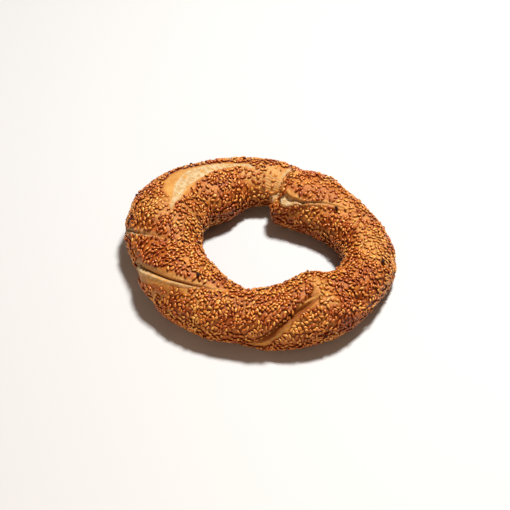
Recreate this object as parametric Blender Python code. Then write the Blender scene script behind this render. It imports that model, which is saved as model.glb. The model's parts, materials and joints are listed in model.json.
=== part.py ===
# Simit: a baked bread ring, made of two strands of dough twisted into one rope.
# The rope runs anticlockwise from its thin tail, at the back of the ring, round to its thick
# nose, which lies on top of the tail. The rope split along the twist as it rose.
# The solid reaches out to the tips of the sesame coat and lies flat on its underside.
# The origin is the middle of the underside, +Z is up, and the joint of the rope is at +Y.

import bpy
import numpy as np
from mathutils import Vector, noise

MM = 0.001
FULL_TURN = 360.0

# Fineness of the faceted solid: sections round the ring, and sides of each section
RING_SECTIONS = 124
SECTION_SIDES = 38

# The rope's course. Angle round the ring from +X in degrees, centreline radius and half width in mm
ROPE = (
    (60, 54.0, 7.0),
    (70, 57.0, 13.0),
    (78, 57.0, 15.0),
    (100, 58.0, 16.5),
    (122, 54.5, 19.5),
    (145, 58.5, 21.0),
    (168, 58.0, 22.5),
    (190, 54.0, 19.0),
    (212, 54.0, 20.0),
    (235, 54.0, 18.0),
    (258, 54.5, 16.5),
    (280, 55.5, 18.0),
    (302, 55.5, 20.0),
    (325, 58.0, 16.0),
    (348, 60.0, 15.0),
    (370, 54.5, 15.0),
    (392, 48.5, 16.5),
    (414, 45.5, 19.0),
    (440, 42.5, 17.0),
)
FLATTENING = 0.84  # half height of a section over its half width
SINKING = 0.85  # height of the centreline over the half height: the rest is the flat underside

# The joint of the rope, in degrees round the ring and mm
SEAM = 90.0  # the mesh starts and ends here, just past the nose
NOSE_END = 433.0  # where the nose ends, on average
NOSE_SLANT = 10.0  # its longest side ends that much later, and the opposite side that much sooner
NOSE_LONGEST_SIDE = 160.0  # which side that is, round the rope
NOSE_ROUNDING = 11.0  # length of the rounded end
NOSE_BLUNTNESS = 3.0  # 2 is a round end, and more is a squarer one
TAIL_SHOWS = 416.0  # the tail may stand out of the nose from here on
JOINT_SOFTNESS = 0.8  # rounding of the valley between nose and tail
CROWDING = 2.2  # sections lie closer together by this factor at the nose's end
CROWDED_LENGTH = 12.0
CROWDING_STEP = 0.1

# Where a groove between the strands lies, round the rope: 0 outside, 90 on top, 180 inside
TWIST = (
    (60, -180),
    (115, -90),
    (193, 90),
    (240, 270),
    (305, 450),
    (377, 630),
    (440, 745),
)
STRAND_BULGE = 0.4
GROOVE_DEPTH = 1.2
GROOVE_NARROWNESS = 8

# Splits and creases. Each follows points (angle round the ring, angle round the rope), and has
# its half width and its depth in mm in its middle
SPLITS = {
    "shoulder_tear": {
        "path": ((174, 103), (160, 105), (147, 106), (134, 103), (121, 96), (106, 93), (92, 98)),
        "width": 6.5,
        "depth": 2.4,
    },
    "left_crease": {
        "path": ((172, 2), (177, 18), (182, 44), (187, 68), (192, 87), (196, 106)),
        "width": 5.0,
        "depth": 1.5,
    },
    "long_split": {
        "path": ((194, 8), (201, 26), (213, 48), (226, 66), (238, 86), (250, 104)),
        "width": 5.5,
        "depth": 2.8,
    },
    "front_groove": {
        "path": ((254, -22), (262, -3), (271, 20), (284, 52), (294, 67), (305, 88), (315, 108)),
        "width": 6.5,
        "depth": 3.6,
    },
    "front_valley": {
        "path": ((303, 50), (312, 66), (320, 84), (326, 108), (330, 128)),
        "width": 6.0,
        "depth": 1.4,
    },
    "nose_crack": {
        "path": ((368, 66), (377, 92), (388, 114), (401, 134), (418, 139), (434, 142)),
        "width": 5.0,
        "depth": 2.4,
    },
    "inner_crease": {
        "path": ((158, 128), (156, 146), (151, 168), (143, 184)),
        "width": 5.0,
        "depth": 1.0,
    },
}
SPLIT_STEPS = 60
SPLIT_TAPER = 0.22  # share of a split's length over which it runs out at each end

LUMP_SIZE = 15.0
LUMP_HEIGHT = 0.55
SEED_COAT_COLOUR = (0.47, 0.2, 0.058, 1.0)
SEED_COAT_ROUGHNESS = 0.48


def clear_scene():
    for item in list(bpy.data.objects):
        bpy.data.objects.remove(item, do_unlink=True)


def smooth_curve(knots, heights, where):
    """A smooth curve through the knots: cubic, with slopes taken from the neighbouring knots."""
    knots = np.asarray(knots, float)
    heights = np.asarray(heights, float)
    slopes = np.gradient(heights, knots)
    start = np.clip(np.searchsorted(knots, where) - 1, 0, len(knots) - 2)
    span = knots[start + 1] - knots[start]
    t = (where - knots[start]) / span
    rise = heights[start + 1] - heights[start]
    bend_in = slopes[start] * span - rise
    bend_out = rise - slopes[start + 1] * span
    return heights[start] + t * rise + t * (1 - t) * ((1 - t) * bend_in + t * bend_out)


def ramp(low, high, value):
    """0 up to low, 1 from high on, and a smooth step between them."""
    t = np.clip((value - low) / (high - low), 0, 1)
    return t * t * (3 - 2 * t)


def rope_at(angle):
    """Centreline radius, centreline height, half width and half height of the rope."""
    angles, radii, half_widths = zip(*ROPE)
    radius = smooth_curve(angles, radii, angle)
    half_width = smooth_curve(angles, half_widths, angle)
    half_height = FLATTENING * half_width
    return radius, SINKING * half_height, half_width, half_height


def reach(centre, direction, rope):
    """How far the rope's section reaches from the centre, in lengths of the direction."""
    radius, height, half_width, half_height = rope
    from_x = (centre[0] - radius) / half_width
    from_z = (centre[1] - height) / half_height
    along_x = direction[0] / half_width
    along_z = direction[1] / half_height
    square = along_x**2 + along_z**2
    half_linear = from_x * along_x + from_z * along_z
    root = half_linear**2 - square * (from_x**2 + from_z**2 - 1)
    return np.where(root > 0, (np.sqrt(np.maximum(root, 0)) - half_linear) / square, 0)


def larger_softly(first, second, softness):
    """The larger of two values, with the corner between them rounded."""
    return (first + second + np.sqrt((first - second) ** 2 + softness**2)) / 2


def place(radius, height, angle):
    """A point in space from its distance to the ring's axis, height and angle in degrees."""
    turn = np.radians(angle)
    return np.stack([radius * np.cos(turn), radius * np.sin(turn), height], -1)


def plain_point(angle, side):
    """The point on the plain rope, without splits, at those two angles in degrees."""
    radius, height, half_width, half_height = rope_at(angle)
    turn = np.radians(side)
    out = radius + half_width * np.cos(turn)
    up = height + half_height * np.sin(turn)
    return place(out, up, angle)


def twist_relief(angle, side):
    """The two strands bulge, and two grooves part them, on opposite sides of the rope."""
    angles, grooves = zip(*TWIST)
    from_groove = np.radians(side - smooth_curve(angles, grooves, angle))
    groove = np.abs(np.cos(from_groove)) ** GROOVE_NARROWNESS
    return STRAND_BULGE - (STRAND_BULGE + GROOVE_DEPTH) * groove


def split_relief(points, split):
    """The hollow of one split: deepest on its path, running out at its sides and ends."""
    path_angles, path_sides = zip(*split["path"])
    knots = np.arange(len(path_angles))
    along = np.linspace(0, len(path_angles) - 1, SPLIT_STEPS)
    course = plain_point(smooth_curve(knots, path_angles, along), smooth_curve(knots, path_sides, along))
    gaps = np.linalg.norm(points[:, None, :] - course[None, :, :], axis=2)
    nearest = np.argmin(gaps, axis=1)
    share = nearest / (SPLIT_STEPS - 1)
    taper = ramp(0, SPLIT_TAPER, share) * ramp(0, SPLIT_TAPER, 1 - share)
    across = np.clip(gaps[np.arange(len(points)), nearest] / split["width"], 0, 1)
    return -split["depth"] * taper * (1 - across**2) ** 2


def lump_relief(points):
    """The rope's gentle unevenness."""
    return LUMP_HEIGHT * np.array([noise.noise(Vector(point / LUMP_SIZE)) for point in points])


def relief(angle, side):
    points = plain_point(angle, side)
    hollows = sum(split_relief(points, split) for split in SPLITS.values())
    return twist_relief(angle, side) + hollows + lump_relief(points)


def section_angles():
    """Angles of the sections round the ring, closer together where the nose ends."""
    travel = np.arange(0, FULL_TURN + CROWDING_STEP, CROWDING_STEP)
    to_nose_end = (SEAM + travel - NOSE_END) / CROWDED_LENGTH
    density = 1 + CROWDING * np.exp(-(to_nose_end**2))
    count = np.concatenate([[0], np.cumsum((density[1:] + density[:-1]) / 2)])
    wanted = np.arange(RING_SECTIONS) / RING_SECTIONS * count[-1]
    return SEAM + np.interp(wanted, count, travel)


def dough_surface(angle, side):
    """Points of the finished surface, in mm, at those angles round the ring and round the rope."""
    rope = rope_at(angle)
    angle_beneath = np.maximum(angle - FULL_TURN, ROPE[0][0])
    tail = rope_at(angle_beneath)
    to_tail = ramp(TAIL_SHOWS, SEAM + FULL_TURN, angle)
    centre_x, centre_z, wide, high = (own + (under - own) * to_tail for own, under in zip(rope, tail))
    turn = np.radians(side)
    direction = (wide * np.cos(turn), high * np.sin(turn))
    length = np.hypot(*direction)

    end = NOSE_END + NOSE_SLANT * np.cos(turn - np.radians(NOSE_LONGEST_SIDE))
    into_end = np.clip((angle - end) / NOSE_ROUNDING + 1, 0, 1)
    rope_reach = reach((centre_x, centre_z), direction, rope) + relief(angle, side) / length
    rope_reach = rope_reach * (1 - into_end**NOSE_BLUNTNESS) ** (1 / NOSE_BLUNTNESS)
    tail_reach = reach((centre_x, centre_z), direction, tail) + relief(angle_beneath, side) / length
    joined = larger_softly(rope_reach, tail_reach, JOINT_SOFTNESS / length)
    out = np.where(angle > TAIL_SHOWS, joined, rope_reach)

    height = np.maximum(centre_z + out * direction[1], 0)
    return place(centre_x + out * direction[0], height, angle)


def seed_coat_material():
    material = bpy.data.materials.new("sesame_crust")
    material.use_nodes = True
    shader = material.node_tree.nodes["Principled BSDF"]
    shader.inputs["Base Color"].default_value = SEED_COAT_COLOUR
    shader.inputs["Roughness"].default_value = SEED_COAT_ROUGHNESS
    shader.inputs["Metallic"].default_value = 0.0
    return material


def make_simit(collection):
    """A torus whose rings of vertices are moved to the sections of the rope."""
    bpy.ops.mesh.primitive_torus_add(major_segments=RING_SECTIONS, minor_segments=SECTION_SIDES)
    simit = bpy.context.object
    simit.name = "simit"
    simit.data.name = "simit"
    angle = np.repeat(section_angles(), SECTION_SIDES)
    side = np.tile(np.arange(SECTION_SIDES) * FULL_TURN / SECTION_SIDES, RING_SECTIONS)
    points = dough_surface(angle, side)
    middle = (points.min(axis=0) + points.max(axis=0)) / 2
    points[:, :2] -= middle[:2]
    simit.data.vertices.foreach_set("co", (points * MM).ravel())
    simit.data.update()
    simit.data.shade_smooth()
    simit.data.materials.append(seed_coat_material())
    for holder in list(simit.users_collection):
        holder.objects.unlink(simit)
    collection.objects.link(simit)
    return simit


def main():
    clear_scene()
    collection = bpy.data.collections.new("simit_ring")
    bpy.context.scene.collection.children.link(collection)
    make_simit(collection)


main()
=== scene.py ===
import json
import math

import bmesh
import bpy
import numpy as np
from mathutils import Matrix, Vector, noise
from mathutils.bvhtree import BVHTree
from mathutils.kdtree import KDTree

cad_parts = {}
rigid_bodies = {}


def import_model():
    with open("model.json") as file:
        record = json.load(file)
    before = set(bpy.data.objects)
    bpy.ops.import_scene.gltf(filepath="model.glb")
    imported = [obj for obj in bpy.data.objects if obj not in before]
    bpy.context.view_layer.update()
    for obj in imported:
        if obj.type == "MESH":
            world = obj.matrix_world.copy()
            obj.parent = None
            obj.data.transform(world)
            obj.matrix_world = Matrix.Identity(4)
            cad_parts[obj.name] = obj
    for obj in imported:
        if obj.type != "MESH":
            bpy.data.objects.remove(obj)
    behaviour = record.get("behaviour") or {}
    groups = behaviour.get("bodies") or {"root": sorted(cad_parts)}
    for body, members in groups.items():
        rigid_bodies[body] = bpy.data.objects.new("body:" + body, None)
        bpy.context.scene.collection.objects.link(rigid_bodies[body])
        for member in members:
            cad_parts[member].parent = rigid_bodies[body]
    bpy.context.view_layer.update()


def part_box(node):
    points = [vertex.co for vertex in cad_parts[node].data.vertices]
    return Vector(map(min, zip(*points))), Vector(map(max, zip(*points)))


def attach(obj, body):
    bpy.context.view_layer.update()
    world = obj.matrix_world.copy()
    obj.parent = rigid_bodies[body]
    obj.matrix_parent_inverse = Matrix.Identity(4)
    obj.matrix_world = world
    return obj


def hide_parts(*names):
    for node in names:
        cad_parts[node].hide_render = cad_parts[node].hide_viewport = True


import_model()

mm = 0.001
fullTurn = 360.0

# the rope of dough, in degrees and mm
rope = {
    "course": (  # angle round the ring, distance of the centreline from its axis, half width
        (60, 54, 7), (70, 57, 13), (78, 57, 15), (100, 58, 16.5), (122, 54.5, 19.5),
        (145, 58.5, 21), (168, 58, 22.5), (190, 54, 19), (212, 54, 20), (235, 54, 18),
        (258, 54.5, 16.5), (280, 55.5, 18), (302, 55.5, 20), (325, 58, 16), (348, 60, 15),
        (370, 54.5, 15), (392, 48.5, 16.5), (414, 45.5, 19), (440, 42.5, 17),
    ),
    "twist": (  # angle round the ring, place of a groove round the rope: 0 outside, 90 on top
        (60, -180), (115, -90), (193, 90), (240, 270), (305, 450), (377, 630), (440, 745),
    ),
    "flattening": 0.84,  # half height over half width
    "sinking": 0.85,  # height of the centreline over the half height
    "strandBulge": 0.4,
    "grooveDepth": 1.2,
    "grooveNarrowness": 8,
    "seedCoat": 0.75,  # the dough lies this far inside the tips of the seeds
    "seam": 90.0,  # the mesh starts and ends here, past the nose
    "noseEnd": 433.0,
    "noseEdge": (  # angle round the rope, angle round the ring where the nose ends
        (-60, 434), (0, 431), (60, 434.5), (80, 436.5), (104, 437), (121, 437.5), (132, 437.5),
        (142, 436), (152, 437.5), (162, 441.5), (171, 443.5), (186, 442), (205, 443), (235, 441),
        (300, 434), (360, 431), (420, 434.5),
    ),
    "noseRounding": 9.0,
    "noseBluntness": 3.0,
    "tailShows": 416.0,
    "jointSoftness": 0.5,
    "crowding": 2.2,
    "crowdedLength": 12.0,
    "baseHeight": 0.3,  # underside of the dough, above the seeds that it lies on
}

dough = {
    "sections": 560,
    "sides": 176,
    "lumps": (  # size and height of each layer of unevenness, in mm
        (15, 0.55), (6, 0.3), (2.6, 0.14),
    ),
    "crumbSize": 1.4,
    "crumbRoughness": 0.6,
}

# the joint behind the nose. Pairs of numbers are where something rises and where it falls away:
# degrees round the rope for sides, degrees from the seam for angles, mm past the nose for lines
joint = {
    "upperSide": ((40, 75), (175, 215)),
    "crumbLine": ((-1.0, -0.2), (0.5, 1.9)),
    "crumbShown": 0.8,
    "bareLine": ((-0.9, -0.3), (1.8, 3.0)),
    "skinAngles": ((-15, -9), (-1, 2)),  # the thin pale skin of the tail
    "skinSides": ((70, 95), (160, 180)),
    "skinShown": 0.2,
    "coverage": 0.75,  # how even the pale parts are, and the size and contrast of their patches
    "crumbPatches": (3.0, 1.1),
    "skinPatches": (4.0, 0.8),
    "wrinkleAngles": ((-13, -8), (0, 6)),
    "wrinkleSides": ((60, 80), (140, 165)),
    "wrinkleSpacing": 1.9,
    "wrinkleHeight": 0.2,
    "wrinkleSlant": 0.25,
    "wander": 3,
    "wanderSize": 5.0,
}

browning = {  # how toasted the dough is, with painted shade low down, from 0 to about 1
    "everywhere": 0.42,
    "upward": 0.12,
    # browner towards the underside: toasting on the tray, and painted shade
    "low": 0.25,
    "patches": 0.8,
    "patchSize": 13.0,
    "golden": 0.4,  # how much less in golden patches
}

# splits in the crust. Rows of a course: angle round the ring, angle round the rope, depth, width of
# the floor, width of bare crust before the edge and after it (all in mm), how much crumb shows. The
# edge is the course itself, and the floor is on its right, seen from outside. The crust falls to the
# floor over the width of the drop, the floor climbs back over the width of the rise, and bare crust
# blends into seeded crust over the width of the fade
splits = {
    "shoulderTear": {
        "course": (
            (93, 108, 0, 0, 0, 0, 0), (99, 99, 0.5, 0.8, 0.6, 4.6, 0.8),
            (105, 90, 0.9, 2.4, 0.7, 6.6, 0.9), (111, 85, 1.1, 3.8, 0.8, 8, 1),
            (116, 84, 1.2, 4.3, 0.8, 8.7, 1), (121, 86.5, 1.3, 5.1, 0.8, 9.9, 1),
            (126, 91.8, 1.5, 6.8, 1, 12.2, 1), (132, 98, 1.6, 7.9, 1.9, 14.9, 1),
            (136, 101, 1.6, 7.6, 2.2, 15.9, 1), (141, 104.6, 1.6, 6.1, 2.4, 15.8, 1),
            (148, 108, 1.5, 4.6, 2.9, 14.4, 1), (156, 111, 1.2, 2.2, 2.4, 10.6, 1),
            (161, 110, 0.9, 1, 1.7, 8, 1), (167, 106, 0.6, -0.7, 1, 4.6, 1),
            (172, 103, 0, -1.8, 0.4, 0.4, 1),
        ),
        "drop": 0.8,
        "rise": 3.0,
        "lip": 0.5,
        "overhang": 0.25,
        "crumbClimbs": 0.75,
        "fade": 3.0,
    },
    "leftCrease": {
        "course": (
            (169, -12, 0, 0.3, 0, 0, 0), (173, 6, 1.1, 0.5, 1.6, 3, 1),
            (176, 20, 1.3, 0.5, 1.4, 2.8, 1), (180, 38, 1.2, 0.4, 1.2, 2.8, 0.7),
            (184, 60, 1, 0.3, 0.9, 2.2, 0.3), (188, 84, 0.7, 0.3, 0.5, 1.2, 0),
            (193, 106, 0, 0.3, 0, 0, 0),
        ),
        "drop": 0.5,
        "rise": 1.6,
        "roll": 0.5,
        "rollWidth": 2.8,
        "overhang": 0.2,
        "farLip": 0.9,
        "crumbClimbs": 1.1,
        "edgeCrumb": 0.9,
        "fade": 1.2,
        "shade": 0.4,
        "shadeWidth": 0.4,
    },
    "longSplit": {
        "course": (
            (186, -30, 0, 0.4, 0, 0, 0), (190, -8, 0.9, 0.8, 1.2, 8.4, 1),
            (194, 13, 1.3, 0.8, 2.4, 9.2, 1), (199, 23, 2.2, 0.7, 3.4, 9.2, 0.9),
            (205, 35, 2.6, 0.5, 4.2, 8.8, 0.6), (210, 44, 2.6, 0.5, 4.6, 8, 0.55),
            (217, 55, 2.3, 0.4, 4.8, 6.4, 0.5), (225, 69, 1.9, 0.4, 4.2, 4.6, 0.4),
            (231, 80, 1.5, 0.3, 3.4, 3, 0.3), (238, 92, 0.9, 0.3, 2.4, 1.4, 0.1),
            (247, 106, 0, 0.3, 0.8, 0, 0),
        ),
        "drop": 0.6,
        "rise": 1.9,
        "roll": 1.3,
        "rollWidth": 4.6,
        "overhang": 0.5,
        "farLip": 0.8,
        "crumbClimbs": 1.7,
        "edgeCrumb": 0.5,
        "fade": 3.2,
        "shade": 1.0,
        "shadeWidth": 0.75,
    },
    "frontGroove": {
        "course": (
            (258, -40, 0, 0.6, 0, 0, 0), (262, -22, 0.8, 1, -0.9, 4.4, 0),
            (266, -2, 2, 2, -0.9, 7.4, 0), (270, 15, 2.8, 2.5, -0.9, 7.6, 0),
            (276, 40, 3.2, 2.2, -0.9, 6.4, 0), (281, 54, 3.3, 2.4, -0.9, 5.2, 0),
            (285, 66, 3.2, 3.4, -0.8, 5.6, 0), (289, 73, 2.9, 4, -0.7, 5.9, 0),
            (293, 79, 2.3, 4, -0.6, 5.7, 0), (296, 85, 1.2, 3.2, 0, 3.6, 0),
            (300, 91, 0, 2, 0, 0, 0),
        ),
        "drop": 1.1,
        "rise": 1.9,
        "lip": 0.3,
        "overhang": 0.4,
        "farLip": 0.4,
        "fade": 0.8,
        "shade": 0.85,
        "shadeSpread": 1.0,
    },
    "noseCrack": {
        "course": (
            (370, 52, 0, 0.4, 0, 0, 0), (377, 74, 0.8, 0.4, 0, 0.6, 0),
            (383, 91, 1.1, 0.5, 0.2, 1, 0.1), (389, 104, 0.8, 0.6, 0.8, 2.4, 0.1),
            (394, 111, 0.8, 0.6, 0.9, 2.6, 0.2), (399, 121, 1, 0.6, 0.8, 1.4, 0.4),
            (405, 133, 1.2, 0.6, 0.8, 1.2, 0.5), (410, 139, 1.3, 0.6, 0.8, 1.4, 0.5),
            (415, 138, 0.8, 0.5, 0.8, 1.6, 0.3), (421, 136, 0, 0.4, 0, 1, 0.2),
        ),
        "drop": 0.6,
        "rise": 0.9,
        "lip": 0.9,
        "overhang": 0.2,
        "farLip": 0.4,
        "crumbClimbs": 1.1,
        "edgeCrumb": 0.6,
        "fade": 0.5,
        "shade": 0.3,
        "shadeWidth": 0.3,
    },
    "nosePocket": {
        "course": (
            (404, 137, 0, 0.3, 0, 0, 0.6), (409, 141, 0.9, 0.8, 0.5, 4.6, 0.6),
            (414, 144, 1.6, 2, 0.6, 7.4, 0.75), (419, 148, 2.1, 3.6, 0.6, 8.6, 0.8),
            (424, 150.5, 2.3, 4.4, 0.6, 8.4, 0.9), (429, 150, 2.1, 3.8, 0.6, 7, 1),
            (432, 148, 1.4, 2.2, 0.5, 4.4, 1), (435, 145, 0, 0.8, 0, 0, 1),
        ),
        "drop": 3.4,
        "shelf": 1.0,
        "rise": 2.3,
        "lip": 0.5,
        "farLip": 0.5,
        "crumbClimbs": 0.35,
        "fade": 1.0,
    },
    "flapCrease": {
        "course": (
            (401, 134, 0, 0.4, 0, 0, 0), (405, 146, 0.7, 0.5, 0.5, 0.7, 0),
            (409, 159, 1, 0.6, 0.8, 1, 0), (416, 171, 0.8, 0.6, 0.8, 1, 0),
            (423, 180, 0, 0.4, 0, 0, 0),
        ),
        "drop": 1.0,
        "rise": 1.8,
        "lip": 0.1,
        "farLip": 0.2,
        "fade": 0.4,
        "shade": 0.3,
    },
    "innerCrease": {
        "course": (
            (162, 120, 0, 0.6, 0, 0, 0), (163, 136, 0.9, 1, 1, 1.4, 0),
            (164, 150, 1.2, 1, 1, 1.6, 0), (162, 166, 1.2, 1, 0.6, 1, 0),
            (158, 184, 0, 0.6, 0, 0, 0),
        ),
        "drop": 1.8,
        "rise": 2.6,
        "roll": 0.3,
        "fade": 0.8,
    },
}

usualSplit = {  # what a split has unless it says otherwise, widths and heights in mm
    "shelf": 0.0,  # how even the slope to the floor is
    "lip": 0.0,  # how far the crust curls up at the edge, and at the far side
    "farLip": 0.0,
    "roll": 0.0,  # how far the crust rounds down to the edge, and over what width
    "rollWidth": 2.0,
    "overhang": 0.0,  # how far the edge hangs over the floor
    "crumbClimbs": 0.0,  # how much of the rise is torn crumb
    "edgeCrumb": 0.0,  # how much crumb shows on the edge itself
    "shade": 0.0,  # how dark the painted shade in the fold is, how soft, how much of the floor it covers
    "shadeWidth": 0.5,
    "shadeSpread": 0.0,
}

splitEdge = {  # the same for all splits: places beside the edge and widths, in mm
    "steep": (-0.4, 0.6),  # where the fall starts and ends, as shares of the drop
    "narrowestFloor": 0.5,
    "lip": (-0.7, 0.8),
    "farLipWidth": 0.9,
    "overhang": (-0.2, 0.9),
    "crumbRises": (-0.4, 0.1),
    "crumbFalls": (-0.7, 0.9),
    "edgeCrumb": (-0.9, 1.0),
    "mostFadeBefore": 0.8,  # the fade is at most this share of the bare width
    "mostFadeAfter": 0.5,
    "bareFringe": (0.5, 0.1),  # outside and inside its width
    "crumbFrom": 0.3,  # shares of the full depth at which they show
    "bareFrom": 0.12,
    "shadeFrom": 0.6,
}

beside = {  # which points of the dough feel a split or a ridge
    "steps": 90,
    "reach": 19.0,  # mm from its course
    "turn": 17.43,  # degrees past its ends
    "beyond": 1.5,  # mm past its ends
}

# a torn finger of crust in the front groove, small folds where the strands part above it, and a
# broad hollow to its right. Spots of a course: angle round the ring, angle round the rope
ridges = {
    "tornFinger": {
        "course": ((286.5, 65.5), (289, 67.5), (292, 69), (295, 70), (298, 70.5)),
        "height": 2.5,
        "width": 1.3,
        "bare": 1.0,
    },
    "upperFold": {
        "course": ((297, 92), (301, 99), (304, 108), (307, 118)),
        "height": 0.9,
        "width": 1.4,
        "bare": 0.0,
    },
    "rightFold": {
        "course": ((303, 40), (304, 52), (303, 66), (306, 80)),
        "height": 0.7,
        "width": 1.3,
        "bare": 0.0,
    },
    "forkHollow": {
        "course": ((305, 86), (309, 70), (312, 54), (315, 38), (317, 28)),
        "height": -3.0,
        "width": 5.0,
        "bare": 0.0,
    },
}

ridgeEdge = {
    "ends": (0.0, 0.6),
    "bareWidth": (0.6, 1.4),  # bare up to the first, seeded from the second
    "unshaded": 0.8,  # how much it takes the painted shade off the fold beneath it
}

# where the seeds fell off or never stuck: middle and half size in degrees, share of seeds missing,
# how golden the bread is there (below 0 it is browner than elsewhere)
barePatches = (
    (441, 122, 9, 42, 0.75, 1.5), (436, 178, 10, 24, 0.05, -0.5), (96, 128, 10, 34, 0.3, 0.9),
    (158, 80, 14, 24, 0.1, 0.5), (302, 98, 5, 20, 0.5, 1), (304, 60, 3, 19, 0.55, 0.9),
    # the patch at 358, 86 is also made paler as painted sheen
    (306, 84, 3, 12, 0.35, 0.7), (358, 86, 20, 30, 0.3, 1), (396, 92, 26, 34, 0.34, 0),
    (414, 108, 14, 28, 0.4, 0.1), (189, 50, 11, 40, 0.42, 0.12), (208, 20, 16, 24, 0.3, 0.5),
    (319, 60, 2, 9, 0.9, 0.2), (229, 54, 3, 5, 0.8, 0.3), (252, 95, 3, 6, 0.8, 0.2),
    (214, 100, 4, 8, 0.6, 0.2), (201, 72, 4, 10, 0.6, 0.2), (411, 165, 4, 10, 0.5, 0.2),
    (388, 128, 4, 9, 0.95, 0.1), (129, 128, 3, 8, 0.6, 0.6), (152, 118, 4, 10, 0.5, 0.3),
    # the browner patch at 313, 62 is painted shade in the hollow right of the fork
    (112, 130, 20, 20, 0.1, -0.5), (194, 56, 14, 30, 0.1, -0.8), (313, 62, 8, 30, 0.1, -1.8),
    (328, 56, 10, 30, 0.1, -0.8), (333, 98, 7, 12, 0.1, 0.5), (302, -5, 12, 14, 0.1, -0.6),
    (98, 106, 8, 34, 0.15, 0.6), (151, 140, 12, 20, 0.1, 0.5), (132, 165, 10, 16, 0.1, 0.4),
    (262, 72, 7, 16, 0.1, 0.4), (287, 102, 7, 14, 0.1, 0.4), (398, 175, 18, 14, 0.1, 0.4),
    (400, 62, 18, 28, 0.1, 0.2), (350, 55, 16, 28, 0.1, 0.4), (181, 82, 9, 16, 0.1, 0.3),
    (188, 70, 11, 40, 0.1, -0.3), (172, 105, 12, 46, 0.1, 0.6), (102, 158, 10, 20, 0.1, -0.7),
    (414, 128, 10, 14, 0.1, -0.5), (392, 50, 28, 22, 0.1, 0.4), (362, 28, 12, 16, 0.1, 0.5),
    (230, 48, 16, 18, 0.1, 0.7), (272, 117, 22, 16, 0.1, 0.4), (224, 120, 8, 14, 0.1, 0.4),
    (247, 29, 8, 12, 0.1, -0.4), (268, 44, 5, 10, 0.1, -0.5), (220, 0, 12, 16, 0.1, 0.6),
    (252, -2, 10, 14, 0.1, 0.4), (290, 30, 9, 18, 0.1, 1), (282, 62, 8, 12, 0.1, -0.5),
)
patchFringe = (0.6, 1.3)  # where a patch starts and ends to fade, as shares of its half size


def smoothCurve(knots, heights, where):  # cubic through the knots, slopes from their neighbours
    knots = np.asarray(knots, float)
    heights = np.asarray(heights, float)
    slopes = np.gradient(heights, knots)
    start = np.clip(np.searchsorted(knots, where) - 1, 0, len(knots) - 2)
    span = knots[start + 1] - knots[start]
    t = (where - knots[start]) / span
    rise = heights[start + 1] - heights[start]
    bendIn = slopes[start] * span - rise
    bendOut = rise - slopes[start + 1] * span
    return heights[start] + t * rise + t * (1 - t) * ((1 - t) * bendIn + t * bendOut)


def ramp(low, high, value):  # 0 up to low, 1 from high on, a smooth step between
    t = np.clip((value - low) / (high - low), 0, 1)
    return t * t * (3 - 2 * t)


def between(value, start, end):  # rises from 0 to 1 over the start, falls back over the end
    return ramp(*start, value) * (1 - ramp(*end, value))


def hump(value, place, width):  # 1 at its place, fading to both sides
    return np.exp(-(((value - place) / width) ** 2))


def unit(vectors):
    return vectors / np.maximum(np.linalg.norm(vectors, axis=-1, keepdims=True), 1e-9)


def wrapped(turn):  # the same turn, taken the short way round
    return (turn + fullTurn / 2) % fullTurn - fullTurn / 2


def lumpiness(points, size):
    return np.array([noise.noise(Vector(point / size)) for point in points])


def ropeAt(angle):  # centreline radius, centreline height, half width, half height
    angles, radii, halfWidths = zip(*rope["course"])
    radius = smoothCurve(angles, radii, angle)
    halfWidth = smoothCurve(angles, halfWidths, angle)
    halfHeight = rope["flattening"] * halfWidth
    return radius, rope["sinking"] * halfHeight, halfWidth, halfHeight


def place(radius, height, angle):
    turn = np.radians(angle)
    return np.stack([radius * np.cos(turn), radius * np.sin(turn), height], -1)


def plainPoint(angle, side):  # a point on the rope before it was split
    radius, height, halfWidth, halfHeight = ropeAt(angle)
    turn = np.radians(side)
    return place(radius + halfWidth * np.cos(turn), height + halfHeight * np.sin(turn), angle)


def reachOf(centre, direction, section):  # how far a section reaches, in lengths of the direction
    radius, height, halfWidth, halfHeight = section
    fromX = (centre[0] - radius) / halfWidth
    fromZ = (centre[1] - height) / halfHeight
    alongX = direction[0] / halfWidth
    alongZ = direction[1] / halfHeight
    square = alongX**2 + alongZ**2
    halfLinear = fromX * alongX + fromZ * alongZ
    root = halfLinear**2 - square * (fromX**2 + fromZ**2 - 1)
    return np.where(root > 0, (np.sqrt(np.maximum(root, 0)) - halfLinear) / square, 0)


def largerSoftly(first, second, softness):
    return (first + second + np.sqrt((first - second) ** 2 + softness**2)) / 2


def twistRelief(angle, side):  # two strands bulge, two grooves part them
    angles, grooves = zip(*rope["twist"])
    fromGroove = np.radians(side - smoothCurve(angles, grooves, angle))
    groove = np.abs(np.cos(fromGroove)) ** rope["grooveNarrowness"]
    return rope["strandBulge"] - (rope["strandBulge"] + rope["grooveDepth"]) * groove


def plainRelief(angle, side):
    points = plainPoint(angle, side)
    lumps = sum(height * lumpiness(points, size) for size, height in dough["lumps"])
    return twistRelief(angle, side) + lumps - rope["seedCoat"]


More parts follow.
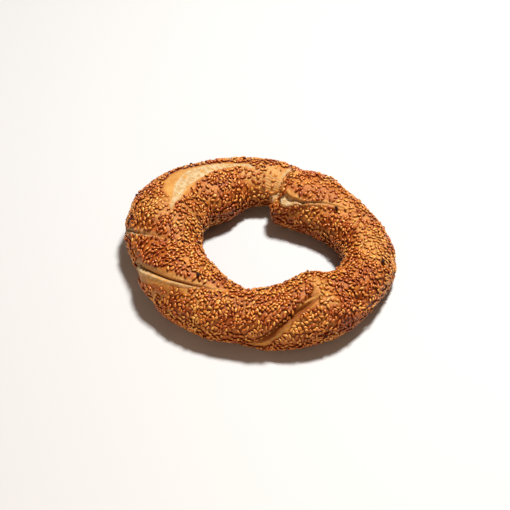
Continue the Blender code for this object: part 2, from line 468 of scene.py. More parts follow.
def besideCourse(points, angle, course):  # the points near a course, and where they lie beside it
    course = np.array(course, float)
    knots = np.arange(len(course))
    along = np.linspace(0, knots[-1], beside["steps"])
    row = np.stack([smoothCurve(knots, column, along) for column in course.T])
    line = plainPoint(row[0], row[1])
    radius, height, _, _ = ropeAt(row[0])
    forward = unit(np.gradient(line, axis=0))
    rightward = unit(np.cross(forward, line - place(radius, height, row[0])))
    low = row[0].min() - beside["turn"]
    high = row[0].max() + beside["turn"]
    close = np.flatnonzero((angle > low) & (angle < high))
    gaps = np.linalg.norm(points[close][:, None, :] - line[None, :, :], axis=2)
    nearest = np.argmin(gaps, axis=1)
    kept = gaps[np.arange(len(close)), nearest] < beside["reach"]
    close, nearest = close[kept], nearest[kept]
    offset = points[close] - line[nearest]
    across = np.einsum("ij,ij->i", offset, rightward[nearest])
    beyond = np.abs(np.einsum("ij,ij->i", offset, forward[nearest]))
    kept = beyond < beside["beyond"]
    return close[kept], across[kept], rightward[nearest[kept]], row[2:, nearest[kept]]


def splitSection(split, across, row):  # what one split does to the dough, from side to side
    depth, floor, bareBefore, bareAfter, crumb = row
    depth, crumb = depth.clip(0), crumb.clip(0)
    share = depth / max(spot[2] for spot in split["course"])
    drop, rise = split["drop"], split["rise"]
    back = ramp(floor, floor + rise, across)
    steepStart, steepEnd = (part * drop for part in splitEdge["steep"])
    steep = ramp(steepStart, steepEnd, across)
    sloping = np.clip(across / np.minimum(drop, floor.clip(splitEdge["narrowestFloor"])), 0, 1)
    opened = (steep + (sloping - steep) * split["shelf"]) * (1 - back)
    roll = ramp(-split["rollWidth"], 0, across) ** 2 * (1 - back)
    lip = hump(across, *splitEdge["lip"])
    farLip = hump(across - floor, rise, splitEdge["farLipWidth"])
    edges = split["roll"] * roll - split["lip"] * lip - split["farLip"] * farLip

    crumbEnd = floor + split["crumbClimbs"] * rise
    crumbFalls = [crumbEnd + part for part in splitEdge["crumbFalls"]]
    inside = between(across, splitEdge["crumbRises"], crumbFalls) * (depth > 0)
    nearEdge = split["edgeCrumb"] * hump(across, *splitEdge["edgeCrumb"]) * (across < 0)

    fadeBefore = np.minimum(split["fade"], splitEdge["mostFadeBefore"] * bareBefore.clip(0))
    fadeAfter = np.minimum(split["fade"], splitEdge["mostFadeAfter"] * bareAfter.clip(0))
    outer, inner = splitEdge["bareFringe"]
    bare = ramp(-bareBefore - outer, -bareBefore + inner + fadeBefore, across)
    bare = bare * (1 - ramp(bareAfter - inner - fadeAfter, bareAfter + outer, across))

    # painted shade along the fold at the edge, spread over the floor
    shadeEnd = split["shadeSpread"] * (floor + rise)
    shadeWidth = split["shadeWidth"]
    paintedFoldShade = between(across, (-shadeWidth, 0), (shadeEnd, shadeEnd + shadeWidth))
    return {
        "hollow": depth * opened + share * edges,
        "push": hump(across, *splitEdge["overhang"]) * share * split["overhang"],
        "crumb": crumb * np.maximum(inside, nearEdge) * ramp(0, splitEdge["crumbFrom"], share),
        "bare": bare * ramp(0, splitEdge["bareFrom"], share),
        "shade": paintedFoldShade * (ramp(0, splitEdge["shadeFrom"], share) * split["shade"]),
    }


def raiseRidge(cut, points, angle, ridge):  # a finger or fold of crust, or a broad hollow
    course = [spot + (1.0,) for spot in ridge["course"]]
    close, across, _, (present,) = besideCourse(points, angle, course)
    fade = ramp(*ridgeEdge["ends"], present)
    cut["hollow"][close] -= ridge["height"] * fade * hump(across, 0, ridge["width"])
    bareEnd, seedsStart = (part * ridge["width"] for part in ridgeEdge["bareWidth"])
    covered = ramp(bareEnd, seedsStart, np.abs(across))
    uncovered = ridge["bare"] * (1 - covered)
    cut["bare"][close] = np.maximum(cut["bare"][close], uncovered)
    cut["shade"][close] *= 1 - ridgeEdge["unshaded"] * uncovered


def cutSplits(angle, side):
    points = plainPoint(angle, side)
    cut = {name: np.zeros(len(angle)) for name in ("hollow", "crumb", "bare", "shade")}
    cut["push"] = np.zeros((len(angle), 3))
    for ownSplit in splits.values():
        split = {**usualSplit, **ownSplit}
        close, across, rightward, row = besideCourse(points, angle, split["course"])
        section = splitSection(split, across, row)
        cut["hollow"][close] += section["hollow"]
        cut["push"][close] += rightward * section["push"][:, None]
        for name in ("crumb", "bare", "shade"):
            cut[name][close] = np.maximum(cut[name][close], section[name])
    for ridge in ridges.values():
        raiseRidge(cut, points, angle, ridge)
    print("splits cut:", len(splits), "and ridges raised:", len(ridges))
    return cut


def patchCover(angle, side):  # in the bare patches: share of seeds missing, how golden the crust is
    missing, golden = np.zeros((2, len(angle)))
    for middle, middleSide, halfAngle, halfSide, shareMissing, goldenHere in barePatches:
        away = wrapped(angle - middle) / halfAngle
        around = wrapped(side - middleSide) / halfSide
        inside = 1 - ramp(*patchFringe, np.hypot(away, around))
        missing = np.maximum(missing, shareMissing * inside)
        golden = golden + goldenHere * inside
    return missing, golden.clip(-1, 1)


def sectionAngles():  # closer together where the nose ends
    fineStep = 0.1
    travel = np.arange(0, fullTurn + fineStep, fineStep)
    nearEnd = hump(rope["seam"] + travel, rope["noseEnd"], rope["crowdedLength"])
    density = 1 + rope["crowding"] * nearEnd
    count = np.concatenate([[0], np.cumsum((density[1:] + density[:-1]) / 2)])
    wanted = np.arange(dough["sections"]) / dough["sections"] * count[-1]
    return rope["seam"] + np.interp(wanted, count, travel)


def joinedRope(angle, side, hollow):  # centre, direction, reach, and mm past the end of the nose
    own = ropeAt(angle)
    angleBeneath = np.maximum(angle - fullTurn, rope["course"][0][0])
    tail = ropeAt(angleBeneath)
    toTail = ramp(rope["tailShows"], rope["seam"] + fullTurn, angle)
    centreX, centreZ, wide, high = (a + (b - a) * toTail for a, b in zip(own, tail))
    turn = np.radians(side)
    direction = (wide * np.cos(turn), high * np.sin(turn))
    length = np.hypot(*direction)

    edgeSides, edgeAngles = zip(*rope["noseEdge"])
    end = smoothCurve(edgeSides, edgeAngles, side)
    intoEnd = np.clip((angle - end) / rope["noseRounding"] + 1, 0, 1)
    bluntness = rope["noseBluntness"]
    cap = (1 - intoEnd**bluntness) ** (1 / bluntness)
    relief = plainRelief(angle, side) - hollow
    ropeReach = (reachOf((centreX, centreZ), direction, own) + relief / length) * cap
    tailRelief = plainRelief(angleBeneath, side)
    tailReach = reachOf((centreX, centreZ), direction, tail) + tailRelief / length
    joined = largerSoftly(ropeReach, tailReach, rope["jointSoftness"] / length)
    reach = np.where(angle > rope["tailShows"], joined, ropeReach)
    pastNose = (angle - end) * math.radians(1) * (centreX + reach * direction[0])
    return (centreX, centreZ), direction, reach, pastNose


def patchily(points, size, contrast):
    return (joint["coverage"] + contrast * lumpiness(points, size)).clip(0, 1)


def markJoint(cut, angle, side, pastNose):  # pale dough in the joint and in the skin drawn into it
    points = plainPoint(angle, side)
    nearJoint = angle > rope["tailShows"]
    upper = between(side, *joint["upperSide"])
    pale = between(pastNose, *joint["crumbLine"]) * upper * nearJoint
    pale = pale * patchily(points, *joint["crumbPatches"])
    away = wrapped(angle - rope["seam"])
    skin = between(away, *joint["skinAngles"]) * between(side, *joint["skinSides"])
    skin = skin * patchily(points, *joint["skinPatches"])
    for shown in (joint["crumbShown"] * pale, joint["skinShown"] * skin):
        cut["crumb"] = np.maximum(cut["crumb"], shown)
    bareLine = between(pastNose, *joint["bareLine"]) * upper * nearJoint
    cut["bare"] = np.maximum(cut["bare"], bareLine)


def wrinkles(points, angle, side):  # the thin skin of the tail, drawn into the joint
    away = wrapped(angle - rope["seam"])
    window = between(away, *joint["wrinkleAngles"]) * between(side, *joint["wrinkleSides"])
    _, _, halfWidth, _ = ropeAt(rope["seam"])
    around = np.radians(side) * halfWidth / joint["wrinkleSpacing"]
    wander = lumpiness(points, joint["wanderSize"]) * joint["wander"]
    wave = np.sin(around * 2 * math.pi + away * joint["wrinkleSlant"] + wander)
    return joint["wrinkleHeight"] * window * wave


def markBrowning(cut, angle, side):
    upward = np.sin(np.radians(side))
    # browner on the underside: toasting on the tray, and painted shade
    low = 1 - ramp(-0.5, 0.2, upward)
    mottle = lumpiness(plainPoint(angle, side), browning["patchSize"])
    toastAndLowShade = browning["everywhere"] + browning["upward"] * upward + browning["low"] * low
    cut["toastAndLowShade"] = toastAndLowShade + browning["patches"] * mottle - browning["golden"] * cut["golden"]


def doughSurface(angle, side):  # points in mm, and what the materials and the seeds need to know
    cut = cutSplits(angle, side)
    centre, direction, reach, pastNose = joinedRope(angle, side, cut["hollow"])
    markJoint(cut, angle, side, pastNose)
    cut["missing"], cut["golden"] = patchCover(angle, side)
    notBrowner = ramp(-0.3, 0.0, cut["golden"])
    cut["sparse"] = cut["missing"].clip(0, sesame["sparse"]) * notBrowner
    markBrowning(cut, angle, side)
    radius = centre[0] + reach * direction[0]
    height = centre[1] + reach * direction[1]
    points = place(radius, height, angle) + cut["push"]
    outward = unit(place(direction[0], direction[1], angle))
    crumbNoise = lumpiness(points, dough["crumbSize"]) * dough["crumbRoughness"]
    points += outward * (crumbNoise * cut["crumb"])[:, None]
    points += outward * wrinkles(points, angle, side)[:, None]
    points[:, 2] = np.maximum(points[:, 2], rope["baseHeight"])
    return points, cut


def newGroup(name, inputs, outputs):
    group = bpy.data.node_groups.new(name, "ShaderNodeTree")
    for socketName, value in inputs.items():
        socket = group.interface.new_socket(socketName, in_out="INPUT", socket_type="NodeSocketFloat")
        socket.default_value = value
    for socketName in outputs:
        group.interface.new_socket(socketName, in_out="OUTPUT", socket_type="NodeSocketFloat")
    return group, group.nodes.new("NodeGroupInput"), group.nodes.new("NodeGroupOutput")


def feed(tree, socket, value):  # links another node's output, or sets a plain value
    if isinstance(value, bpy.types.NodeSocket):
        tree.links.new(value, socket)
    else:
        socket.default_value = value


def addNode(tree, kind, settings, inputs):  # inputs by name, or by number where names repeat
    node = tree.nodes.new(kind)
    for key, value in settings.items():
        setattr(node, key, value)
    for key, value in inputs.items():
        feed(tree, node.inputs[key], value)
    return node


def mixColour(tree, factor, first, second):
    inputs = {0: factor, 6: first, 7: second}
    return addNode(tree, "ShaderNodeMix", {"data_type": "RGBA"}, inputs).outputs[2]


def mathNode(tree, operation, first, second=0.0, third=0.0, clamp=False):
    settings = {"operation": operation, "use_clamp": clamp}
    return addNode(tree, "ShaderNodeMath", settings, {0: first, 1: second, 2: third}).outputs[0]


def addNoise(tree, size, detail, roughness):  # size of its patches in mm
    spot = addNode(tree, "ShaderNodeTexCoord", {}, {}).outputs["Object"]
    scale = mathNode(tree, "DIVIDE", 1 / mm, size)
    inputs = {"Vector": spot, "Scale": scale, "Detail": detail, "Roughness": roughness}
    return addNode(tree, "ShaderNodeTexNoise", {}, inputs).outputs["Fac"]


def makeToastGroup():  # broad patches and fine grain of browning
    inputs = {"Patch Size": 8.0, "Grain Size": 1.2}
    group, given, result = newGroup("toasting", inputs, ("Patches", "Grain"))
    broad = addNoise(group, given.outputs["Patch Size"], 3.0, 0.6)
    fine = addNoise(group, given.outputs["Grain Size"], 4.0, 0.65)
    centred = mathNode(group, "SUBTRACT", broad, 0.5)
    patches = mathNode(group, "MULTIPLY_ADD", centred, 3.0, 0.5, clamp=True)
    feed(group, result.inputs["Patches"], patches)
    feed(group, result.inputs["Grain"], fine)
    return group


crumbMasks = {  # output, and the noise at which the mask starts and ends to fade
    "Pore Size": ("Pore Shade", 0.4, 0.58),
    "Speck Size": ("Specks", 0.34, 0.43),
}


def makeCrumbGroup():  # torn dough: vague pores with painted shade, browned specks and a rough face
    inputs = {"Pore Size": 1.0, "Speck Size": 2.0}
    group, given, result = newGroup("tornCrumb", inputs, ("Pore Shade", "Specks", "Height"))
    for sizeSocket, (output, low, high) in crumbMasks.items():
        texture = addNoise(group, given.outputs[sizeSocket], 4.0, 0.65)
        inputs = {"Value": texture, "From Min": low, "From Max": high, "To Min": 1.0, "To Max": 0.0}
        mask = addNode(group, "ShaderNodeMapRange", {"interpolation_type": "SMOOTHSTEP"}, inputs)
        feed(group, result.inputs[output], mask.outputs[0])
        if output == "Pore Shade":
            feed(group, result.inputs["Height"], texture)
    return group


def newMaterial(name):
    material = bpy.data.materials.new(name)
    material.use_nodes = True
    tree = material.node_tree
    return material, tree, tree.nodes["Principled BSDF"]


def attribute(tree, name):
    return addNode(tree, "ShaderNodeAttribute", {"attribute_name": name}, {}).outputs["Fac"]


def addToast(tree, toastGroup, look):
    sizes = {"Patch Size": look["patchSize"], "Grain Size": look["grainSize"]}
    toast = addNode(tree, "ShaderNodeGroup", {"node_tree": toastGroup}, sizes)
    return toast.outputs["Patches"], toast.outputs["Grain"]


def finishMaterial(tree, shader, colour, rough, height, look):
    feed(tree, shader.inputs["Base Color"], colour)
    feed(tree, shader.inputs["Roughness"], rough)
    inputs = {"Height": height, "Distance": look["bump"], "Strength": look["bumpStrength"]}
    bump = addNode(tree, "ShaderNodeBump", {}, inputs)
    feed(tree, shader.inputs["Normal"], bump.outputs["Normal"])
    shader.inputs["Specular IOR Level"].default_value = look["gloss"]
    shader.inputs["Specular Tint"].default_value = look["sheen"]


crust = {
    "glazed": (0.34, 0.075, 0.009, 1),
    # glaze close round the seeds, darkened further as painted contact shade
    "glazeAndContactShade": (0.17, 0.014, 0.0005, 1),
    "golden": (0.53, 0.2, 0.034, 1),
    "dryGolden": (0.44, 0.17, 0.028, 1),
    "bare": (0.56, 0.29, 0.074, 1),
    "crumb": (0.56, 0.42, 0.24, 1),
    "poreShade": (0.45, 0.26, 0.095, 1),
    # painted shade in the pores of the crumb
    "speck": (0.58, 0.26, 0.05, 1),
    # painted shade in the folds and on the floors of the splits
    "paintedFoldShade": (0.2, 0.038, 0.003, 1),
    "patchSize": 9.0,
    "grainSize": 1.1,
    "poreSize": 2.1,
    "speckSize": 4.0,
    "leastBrowned": 1.3,
    "flecks": (1.6, -0.8),  # strength of the grain, and its start
    "paleFlecks": (2.6, -1.1),
    "palePatches": 0.6,
    "bareStrength": 0.85,
    "glazeAndContactShadeStrength": 0.95,  # of the glaze and painted contact shade close round the seeds
    "glazedRoughness": 0.38,
    "bareRoughness": 0.55,
    "crumbRoughness": 0.9,
    "bump": 0.0006,
    "bumpStrength": 0.8,
    "crumbBump": 3.0,
    "gloss": 0.38,
    "sheen": (1.0, 0.8, 0.55, 1),
}


def makeCrustMaterial(toastGroup, crumbGroup):
    material, tree, shader = newMaterial("bakedCrust")
    patches, grain = addToast(tree, toastGroup, crust)
    sizes = {"Pore Size": crust["poreSize"], "Speck Size": crust["speckSize"]}
    torn = addNode(tree, "ShaderNodeGroup", {"node_tree": crumbGroup}, sizes)
    crumb, bare, paintedFoldShade = attribute(tree, "crumb"), attribute(tree, "bare"), attribute(tree, "shade")

    browned = mathNode(tree, "SUBTRACT", crust["leastBrowned"], attribute(tree, "toastAndLowShade"))
    browned = mathNode(tree, "MULTIPLY", patches, browned)
    flecks = mathNode(tree, "MULTIPLY_ADD", grain, *crust["flecks"])
    browned = mathNode(tree, "ADD", browned, flecks, clamp=True)
    colour = mixColour(tree, browned, crust["glazed"], crust["golden"])
    paleFlecks = mathNode(tree, "MULTIPLY_ADD", grain, *crust["paleFlecks"])
    pale = mathNode(tree, "MULTIPLY_ADD", patches, crust["palePatches"], paleFlecks, clamp=True)
    bareTone = mixColour(tree, pale, crust["dryGolden"], crust["bare"])
    uncovered = mathNode(tree, "MAXIMUM", bare, attribute(tree, "golden"))
    uncovered = mathNode(tree, "MULTIPLY", uncovered, crust["bareStrength"])
    glazeAndContactShadeMask = mathNode(tree, "MULTIPLY", attribute(tree, "nearSeedGlazeShade"), crust["glazeAndContactShadeStrength"])
    crumbTone = mixColour(tree, torn.outputs["Pore Shade"], crust["crumb"], crust["poreShade"])
    crumbTone = mixColour(tree, torn.outputs["Specks"], crumbTone, crust["speck"])
    # the glaze round the seeds also carries painted contact shade, and the folds get painted shade
    tones = (bareTone, crust["glazeAndContactShade"], crumbTone, crust["paintedFoldShade"])
    for mask, tone in zip((uncovered, glazeAndContactShadeMask, crumb, paintedFoldShade), tones):
        colour = mixColour(tree, mask, colour, tone)

    glazedRough, bareRough = crust["glazedRoughness"], crust["bareRoughness"]
    crumbRough = crust["crumbRoughness"]
    rough = mathNode(tree, "MULTIPLY_ADD", bare, bareRough - glazedRough, glazedRough)
    rough = mathNode(tree, "MULTIPLY_ADD", crumb, crumbRough - bareRough, rough)
    tornHeight = mathNode(tree, "MULTIPLY", crumb, crust["crumbBump"])
    tornHeight = mathNode(tree, "MULTIPLY", torn.outputs["Height"], tornHeight)
    height = mathNode(tree, "ADD", grain, tornHeight)
    finishMaterial(tree, shader, colour, rough, height, crust)
    return material


def setAttribute(mesh, name, values):
    layer = mesh.attributes.new(name, "FLOAT", "POINT")
    layer.data.foreach_set("value", values.astype(np.float32))


def makePiece(name, points, faces, material):
    mesh = bpy.data.meshes.new(name)
    mesh.from_pydata((points * mm).tolist(), [], faces.tolist())
    mesh.shade_smooth()
    mesh.materials.append(material)
    piece = bpy.data.objects.new(name, mesh)
    bpy.context.scene.collection.objects.link(piece)
    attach(piece, "root")
    return piece


def makeDough(material):
    angle = np.repeat(sectionAngles(), dough["sides"])
    side = np.tile(np.arange(dough["sides"]) * fullTurn / dough["sides"], dough["sections"])
    points, cut = doughSurface(angle, side)
    low, high = (np.array(corner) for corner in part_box("simit"))
    middle = (points.min(axis=0) + points.max(axis=0)) / 2
    points[:, :2] += ((low + high) / 2)[:2] / mm - middle[:2]
    grid = np.arange(len(points)).reshape(dough["sections"], dough["sides"])
    onward, around = np.roll(grid, -1, 0), np.roll(grid, -1, 1)
    quads = np.stack([grid, onward, np.roll(onward, -1, 1), around], -1).reshape(-1, 4)
    piece = makePiece("doughRing", points, quads, material)
    for name in ("crumb", "bare", "shade", "golden", "toastAndLowShade"):
        setAttribute(piece.data, name, cut[name])
    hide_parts("simit")
    print("dough ring:", len(piece.data.polygons), "faces")
    return piece, points, cut


sesame = {
    "length": 2.85,
    "width": 1.48,
    "thickness": 1.3,
    "unevenSize": 0.13,
    "pointed": 0.42,  # how much narrower, and thinner, a seed is at its point
    "thinned": 0.3,
    "drawnOut": 0.08,
    "count": 9200,  # seeds thrown on the ring, before some are taken off again
    "triesPerSeed": 4,
    "firstGap": 0.62,  # least distance between first places, in widths
    "beneath": 0.55,  # share of seeds kept on the side that lies on the table
    "stickingBare": 0.3,  # seeds stick where the crust is less bare than this
    "missing": 0.16,  # share of seeds missing all over, and how much it changes
    "missingChange": 0.35,
    "missingPatch": 6.0,
    "apart": 0.78,  # between seeds where many are missing, and how uneven it is
    "unevenApart": 0.16,
    "tilt": 11.0,
    "sunk": -0.08,  # depth of a seed's middle, as a share of its thickness
    "sparse": 0.45,  # where this share of seeds is missing, those left sank deepest
    "sunkSparse": 0.7,
    "sparseBrown": 0.6,  # how much browner the seeds are where few stuck
    "sparseLessGlazeAndShade": 1.7,  # how much less glaze and painted contact shade there is round their feet
    "unevenBrown": 0.35,
    "resting": 0.05,  # share of seeds on top of others, and how much higher they are
    "restingLift": 0.45,
    "glazeShadeStarts": 0.45,  # reach of the glaze and painted contact shade round a seed: widths from its middle, then mm
    "glazeShadeWidth": 0.7,
    "burntAt": (  # angle round the ring, angle round the rope
        (383, 101.5), (159, 40), (126, 50), (231, 95), (341, 48), (297, -4),
    ),
    "burntAcross": (1.0, 0.3, 0.0),
    "burntSize": 1.25,
    "burntRoom": 1.3,  # widths to the nearest other seed
    "seed": 31,  # of the random numbers
}

packing = {  # neighbours push each other aside and turn to make room
    "passes": 14,
    "room": 0.95,  # how much of its own width a seed defends
    "ends": 0.55,  # where the round ends of a seed are, as a share of length less width
    "reach": 1.15,  # lengths to the furthest neighbour that is felt
    "freshPairs": 4,  # passes until the neighbours are looked up again
    "push": 0.16,
    "longestPush": 0.5,
    "twist": 0.14,
    "longestTwist": 0.35,
}

seedSkin = {
    "patchSize": 1.6,
    "grainSize": 0.5,
    "toneShare": 0.75,  # of a seed's colour
    "mottleShare": 0.25,
    "footGlazeShadeColour": (0.16, 0.014, 0.0005, 1),  # baked glaze round the foot of a seed, darkened further as painted shade on its underside
    "footGlazeShadeStrength": 0.95,
    "roughness": 0.2,
    "grainRoughness": 0.2,
    "bump": 0.00006,
    "bumpStrength": 0.6,
    "gloss": 0.8,
    "sheen": (1.0, 0.78, 0.5, 1),
}

sesameKinds = {  # share of all seeds, and the colours between which each seed's tone lies
    "sesameGolden": {"share": 0.13, "light": (0.72, 0.35, 0.075, 1), "dark": (0.58, 0.22, 0.035, 1)},
    "sesameAmber": {"share": 0.23, "light": (0.66, 0.265, 0.044, 1), "dark": (0.5, 0.145, 0.017, 1)},
    "sesameToasted": {"share": 0.26, "light": (0.58, 0.195, 0.026, 1), "dark": (0.41, 0.09, 0.009, 1)},
    "sesameBrown": {"share": 0.24, "light": (0.5, 0.135, 0.016, 1), "dark": (0.33, 0.055, 0.004, 1)},
    "sesameDark": {"share": 0.14, "light": (0.4, 0.085, 0.009, 1), "dark": (0.24, 0.03, 0.002, 1)},
    "sesameBurnt": {"light": (0.03, 0.012, 0.008, 1), "dark": (0.012, 0.006, 0.005, 1), "gloss": 0.1},
}


def seedShape():  # a flat drop: round at one end, drawn to a point at the other
    mesh = bmesh.new()
    bmesh.ops.create_icosphere(mesh, subdivisions=2, radius=1)
    points = np.array([vertex.co for vertex in mesh.verts])
    faces = np.array([[vertex.index for vertex in face.verts] for face in mesh.faces])
    mesh.free()
    points[:, 1] *= 1 - sesame["pointed"] * ramp(-0.2, 1.0, points[:, 0])
    points[:, 2] *= 1 - sesame["thinned"] * ramp(0.1, 1.0, points[:, 0])
    points[:, 0] += sesame["drawnOut"] * points[:, 0] ** 2
    return points * np.array([sesame["length"], sesame["width"], sesame["thickness"]]) / 2, faces


def treeOf(points):
    tree = KDTree(len(points))
    for index, point in enumerate(points):
        tree.insert(point, index)
    tree.balance()
    return tree


def scatterSeeds(points, normals, cut, random):  # first places, evenly by area
    sections, sides = dough["sections"], dough["sides"]
    grid = np.arange(sections * sides).reshape(sections, sides)
    onward = np.roll(grid, -1, 0)
    corners = np.stack([grid, onward, np.roll(grid, -1, 1), np.roll(onward, -1, 1)])
    corners = corners.reshape(4, -1)
    first, second, third, fourth = (points[corner] for corner in corners)
    area = np.linalg.norm(np.cross(fourth - first, third - second), axis=1) / 2
    bare = cut["bare"][corners].mean(axis=0)
    area = area * (bare < sesame["stickingBare"])
    facingDown = normals[corners[0], 2] < -0.9
    area = np.where(facingDown, sesame["beneath"] * area, area)
    tries = sesame["count"] * sesame["triesPerSeed"]
    cell = random.choice(len(area), tries, p=area / area.sum())
    a, b = random.random((2, len(cell)))
    weights = np.stack([(1 - a) * (1 - b), a * (1 - b), (1 - a) * b, a * b])
    where = np.einsum("kn,knc->nc", weights, points[corners[:, cell]])
    apart = []
    taken = set()
    gap = sesame["firstGap"] * sesame["width"]
    for index, point in enumerate(where):
        key = tuple(np.floor(point / gap).astype(int))
        if key not in taken:
            taken.add(key)
            apart.append(index)
        if len(apart) == sesame["count"]:
            break
    return where[apart]


def pairsNearby(where, reach):
    tree = treeOf(where)
    pairs = []
    for i, point in enumerate(where):
        pairs += [(i, j) for _, j, _ in tree.find_range(point, reach) if j > i]
    return np.array(pairs).T


def seedAxes(facing, turn):  # lengthwise axis of each seed, flat on the crust
    reference = np.where(np.abs(facing[:, 2:]) > 0.9, [[1.0, 0, 0]], [[0, 0, 1.0]])
    first = unit(np.cross(reference, facing))
    second = np.cross(facing, first)
    return first * np.cos(turn)[:, None] + second * np.sin(turn)[:, None]


def packSeeds(surface, where, random):
    turn = random.random(len(where)) * 2 * math.pi
    width = packing["room"] * sesame["width"]
    offset = (sesame["length"] - sesame["width"]) * packing["ends"]
    steps = np.array([-offset, 0.0, offset])
    for number in range(packing["passes"] + 1):
        near = [surface.find_nearest(point) for point in where]
        where = np.array([spot[0] for spot in near])
        facing = np.array([spot[1] for spot in near])
        axes = seedAxes(facing, turn)
        if number == packing["passes"]:
            break
        if number % packing["freshPairs"] == 0:
            one, other = pairsNearby(where, sesame["length"] * packing["reach"])
        parts = where[:, None, :] + axes[:, None, :] * steps[None, :, None]
        gap = parts[one][:, :, None, :] - parts[other][:, None, :, :]
        distance = np.linalg.norm(gap, axis=3) + 1e-6
        push = gap * (np.maximum(width - distance, 0) / distance)[..., None]
        pushOne, pushOther = push.sum(axis=2), -push.sum(axis=1)
        shift = np.zeros_like(where)
        twist = np.zeros(len(where))
        for ends, force in ((one, pushOne), (other, pushOther)):
            total = force.sum(axis=1)
            lever = np.cross(axes[ends][:, None, :] * steps[None, :, None], force).sum(axis=1)
            for axis in range(3):
                shift[:, axis] += np.bincount(ends, total[:, axis], len(where))
            twist += np.bincount(ends, np.einsum("ij,ij->i", lever, facing[ends]), len(where))
        longest = packing["longestPush"]
        where = where + np.clip(packing["push"] * shift, -longest, longest)
        longest = packing["longestTwist"]
        turn = turn + np.clip(packing["twist"] * twist / offset**2, -longest, longest)
    return where, facing, axes


def thinSeeds(where, missing, random):  # drops seeds evenly, so that no two left are too close
    size = math.sqrt(sesame["length"] * sesame["width"])
    uneven = 1 + sesame["unevenApart"] * random.normal(size=len(where)).clip(-2, 2)
    apart = sesame["apart"] * size / np.sqrt(1 - missing) * uneven
    apart[missing < 0.1] = 0
    tree = treeOf(where)
    kept = np.zeros(len(where), bool)
    for index in random.permutation(len(where)):
        near = [other for _, other, _ in tree.find_range(where[index], apart[index])]
        kept[index] = missing[index] < 0.97 and not kept[near].any()
    return kept


def nearSeedGlazeAndShade(points, where, axes):  # glaze and painted contact shade: 1 on the crust close to a seed, 0 well away from all
    reach = (sesame["length"] - sesame["width"]) / 2
    tree = treeOf(np.concatenate([where + step * axes for step in (-reach, 0.0, reach)]))
    distance = np.array([tree.find(point)[2] for point in points])
    start = sesame["glazeShadeStarts"] * sesame["width"]
    return 1 - ramp(start, start + sesame["glazeShadeWidth"], distance)


def placeSeeds(ring, points, normals, cut, random):  # places, and what the dough is like there
    quads = [tuple(face.vertices) for face in ring.data.polygons]
    surface = BVHTree.FromPolygons(points.tolist(), quads)
    where = scatterSeeds(points, normals, cut, random)
    print("seeds scattered:", len(where))
    where, facing, axes = packSeeds(surface, where, random)
    tree = treeOf(points)
    nearest = [tree.find(point)[1] for point in where]
    change = sesame["missingChange"] * lumpiness(where, sesame["missingPatch"])
    missing = np.maximum(cut["missing"][nearest], sesame["missing"] + change)
    sticking = cut["bare"][nearest] < sesame["stickingBare"]
    missing = np.where(sticking, missing, 1.0).clip(0, 1 - 1e-6)
    kept = thinSeeds(where, missing, random)
    burntSpots = [plainPoint(angle, side) for angle, side in sesame["burntAt"]]
    for spot in burntSpots:
        kept &= np.linalg.norm(where - spot, axis=1) > sesame["burntRoom"] * sesame["width"]
    burnt = [surface.find_nearest(spot)[:2] for spot in burntSpots]
    burntAxes = [unit(np.cross(normal, sesame["burntAcross"])) for _, normal in burnt]
    return {
        "where": np.concatenate([where[kept], [spot for spot, _ in burnt]]),
        "facing": np.concatenate([facing[kept], [normal for _, normal in burnt]]),
        "axes": np.concatenate([axes[kept], burntAxes]),
        "toastAndLowShade": np.concatenate([cut["toastAndLowShade"][nearest][kept], np.zeros(len(burnt))]),
        "sparse": np.concatenate([cut["sparse"][nearest][kept], np.zeros(len(burnt))]),
    }


def layOutSeeds(shape, placed, burnt, random):  # every seed's corners, each seed uneven and tilted
    facing = placed["facing"]
    count = len(facing)
    tilt = np.radians(sesame["tilt"]) * random.normal(size=(count, 2)).clip(-2.5, 2.5)
    tilt = np.tan(tilt)
    axes = unit(placed["axes"] + facing * tilt[:, :1])
    across = unit(np.cross(facing, axes) + facing * tilt[:, 1:])
    up = unit(np.cross(axes, across))
    flip = np.where(random.random(count) < 0.5, 1.0, -1.0)
    size = 1 + sesame["unevenSize"] * random.normal(size=(count, 3)).clip(-2, 2)
    resting = random.random(count) < sesame["resting"]
    size[burnt] = sesame["burntSize"]
    resting[burnt] = True
    sunk = sesame["sunk"] + sesame["sunkSparse"] * placed["sparse"]
    lift = sesame["thickness"] * (0.5 - sunk + sesame["restingLift"] * resting)
    centres = placed["where"] + facing * lift[:, None]
    seeds = shape[None] * size[:, None, :]
    seeds = (
        centres[:, None, :]
        + seeds[:, :, :1] * (axes * flip[:, None])[:, None, :]
        + seeds[:, :, 1:2] * (across * flip[:, None])[:, None, :]
        + seeds[:, :, 2:] * up[:, None, :]
    )
    low, high = (np.array(corner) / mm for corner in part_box("simit"))
    margin = 0.05
    seeds -= np.maximum(seeds.max(axis=1) - high + margin, 0)[:, None, :]
    seeds += np.maximum(low + margin - seeds.min(axis=1), 0)[:, None, :] * np.array([1, 1, 0])
    seeds[..., 2] = np.maximum(seeds[..., 2], 0.0)
    return seeds


def sortByToastAndShade(placed, burnt, random):  # the kind that each seed belongs to
    count = len(placed["where"])
    order = placed["toastAndLowShade"] + sesame["sparseBrown"] * placed["sparse"]
    order = order + sesame["unevenBrown"] * random.normal(size=count)
    rank = np.argsort(np.argsort(order)) / count
    shares = np.cumsum([kind["share"] for kind in sesameKinds.values() if "share" in kind])
    kindOf = np.searchsorted(shares / shares[-1], rank)
    kindOf[burnt] = list(sesameKinds).index("sesameBurnt")
    return kindOf


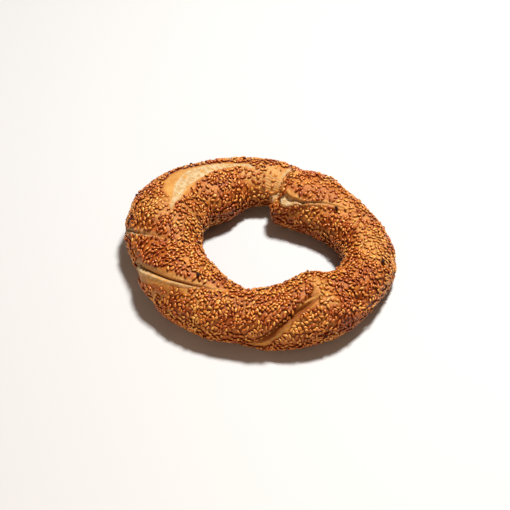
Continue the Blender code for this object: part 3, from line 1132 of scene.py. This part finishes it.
def makeSesameMaterial(name, kind, toastGroup):
    material, tree, shader = newMaterial(name)
    look = {**seedSkin, **kind}
    patches, grain = addToast(tree, toastGroup, look)
    tone = mathNode(tree, "MULTIPLY", attribute(tree, "tone"), look["toneShare"])
    mottle = mathNode(tree, "MULTIPLY", patches, look["mottleShare"])
    lightness = mathNode(tree, "ADD", tone, mottle, clamp=True)
    colour = mixColour(tree, lightness, look["dark"], look["light"])
    # glaze and painted shade on the lower half of the seed
    glazed = mathNode(tree, "MULTIPLY", attribute(tree, "footGlazeShade"), look["footGlazeShadeStrength"])
    colour = mixColour(tree, glazed, colour, look["footGlazeShadeColour"])
    rough = mathNode(tree, "MULTIPLY_ADD", grain, look["grainRoughness"], look["roughness"])
    finishMaterial(tree, shader, colour, rough, grain, look)
    return material


def makeSeeds(ring, points, normals, cut, toastGroup):
    random = np.random.default_rng(sesame["seed"])
    shape, faces = seedShape()
    placed = placeSeeds(ring, points, normals, cut, random)
    count = len(placed["where"])
    burnt = slice(count - len(sesame["burntAt"]), count)
    nearSeedGlazeShade = nearSeedGlazeAndShade(points, placed["where"], placed["axes"])
    setAttribute(ring.data, "nearSeedGlazeShade", nearSeedGlazeShade * (1 - sesame["sparseLessGlazeAndShade"] * cut["sparse"]))
    print("seeds that stuck:", count)

    seeds = layOutSeeds(shape, placed, burnt, random)
    tone = random.random(count)
    kindOf = sortByToastAndShade(placed, burnt, random)
    # the lower half of each seed, for glaze and painted shade
    footGlazeShade = 1 - ramp(-0.15, 0.5, shape[:, 2] / (sesame["thickness"] / 2))
    footGlazeShades = np.outer(1 - sesame["sparseLessGlazeAndShade"] * placed["sparse"], footGlazeShade)
    for index, (name, kind) in enumerate(sesameKinds.items()):
        own = np.flatnonzero(kindOf == index)
        firstCorner = np.arange(len(own)) * len(shape)
        ownFaces = (faces[None] + firstCorner[:, None, None]).reshape(-1, 3)
        material = makeSesameMaterial(name, kind, toastGroup)
        piece = makePiece(name, seeds[own].reshape(-1, 3), ownFaces, material)
        setAttribute(piece.data, "tone", np.repeat(tone[own], len(shape)))
        setAttribute(piece.data, "footGlazeShade", footGlazeShades[own].ravel())
        print(name + ":", len(own), "seeds,", len(ownFaces), "faces")


studio = {
    "elevation": 43.43,  # of the camera above the table
    "distance": 801.0,
    "aim": (-2.4, 5.8, 0.0),
    "lens": 98.96,
    "floorColour": (0.521, 0.514, 0.5, 1),
    "floorRoughness": 0.6,
    "floorSize": 6.0,
    "skyColour": (1.0, 0.82, 0.7, 1),
    "skyStrength": 0.14,
}

lights = {  # places and sizes in metres
    "keyLight": {
        "colour": (1.0, 1.0, 1.0),
        "power": 27.8,
        "size": 0.2,
        "place": (0.27, 0.31, 1.17),
    },
    "fillLight": {  # light thrown back at the front of the ring
        "colour": (1.0, 0.72, 0.5),
        "power": 1.85,
        "size": 0.4,
        "place": (-0.24, -0.66, 0.2),
    },
}


def pointAt(item, target):
    towards = Vector(target) - item.location
    item.rotation_euler = towards.to_track_quat("-Z", "Y").to_euler()


def addLight(name, light, target):
    data = bpy.data.lights.new(name, "AREA")
    data.color = light["colour"]
    data.energy = light["power"]
    data.size = light["size"]
    item = bpy.data.objects.new(name, data)
    item.location = light["place"]
    pointAt(item, target)
    bpy.context.scene.collection.objects.link(item)


def makeStudio():
    bpy.ops.mesh.primitive_plane_add(size=studio["floorSize"], location=(0, 0, 0))
    floor = bpy.context.object
    floor.name = "floor"
    material, tree, shader = newMaterial("paleFloor")
    shader.inputs["Base Color"].default_value = studio["floorColour"]
    shader.inputs["Roughness"].default_value = studio["floorRoughness"]
    floor.data.materials.append(material)
    world = bpy.data.worlds.new("paleRoom")
    bpy.context.scene.world = world
    world.use_nodes = True
    sky = world.node_tree.nodes["Background"]
    sky.inputs["Color"].default_value = studio["skyColour"]
    sky.inputs["Strength"].default_value = studio["skyStrength"]
    aim = Vector(studio["aim"]) * mm
    for name, light in lights.items():
        addLight(name, light, aim)
    camera = bpy.data.objects.new("camera", bpy.data.cameras.new("camera"))
    camera.data.lens = studio["lens"]
    rise = math.radians(studio["elevation"])
    camera.location = aim + Vector((0, -math.cos(rise), math.sin(rise))) * studio["distance"] * mm
    pointAt(camera, aim)
    bpy.context.scene.collection.objects.link(camera)
    bpy.context.scene.camera = camera
    bpy.context.scene.view_settings.view_transform = "Standard"
    print("studio: floor, lights and camera")


def main():
    for item in [item for item in bpy.data.objects if item.name in ("Cube", "Light", "Camera")]:
        bpy.data.objects.remove(item)
    makeStudio()
    toastGroup, crumbGroup = makeToastGroup(), makeCrumbGroup()
    ring, points, cut = makeDough(makeCrustMaterial(toastGroup, crumbGroup))
    normals = np.zeros(len(ring.data.vertices) * 3)
    ring.data.vertices.foreach_get("normal", normals)
    makeSeeds(ring, points, normals.reshape(-1, 3), cut, toastGroup)


main()
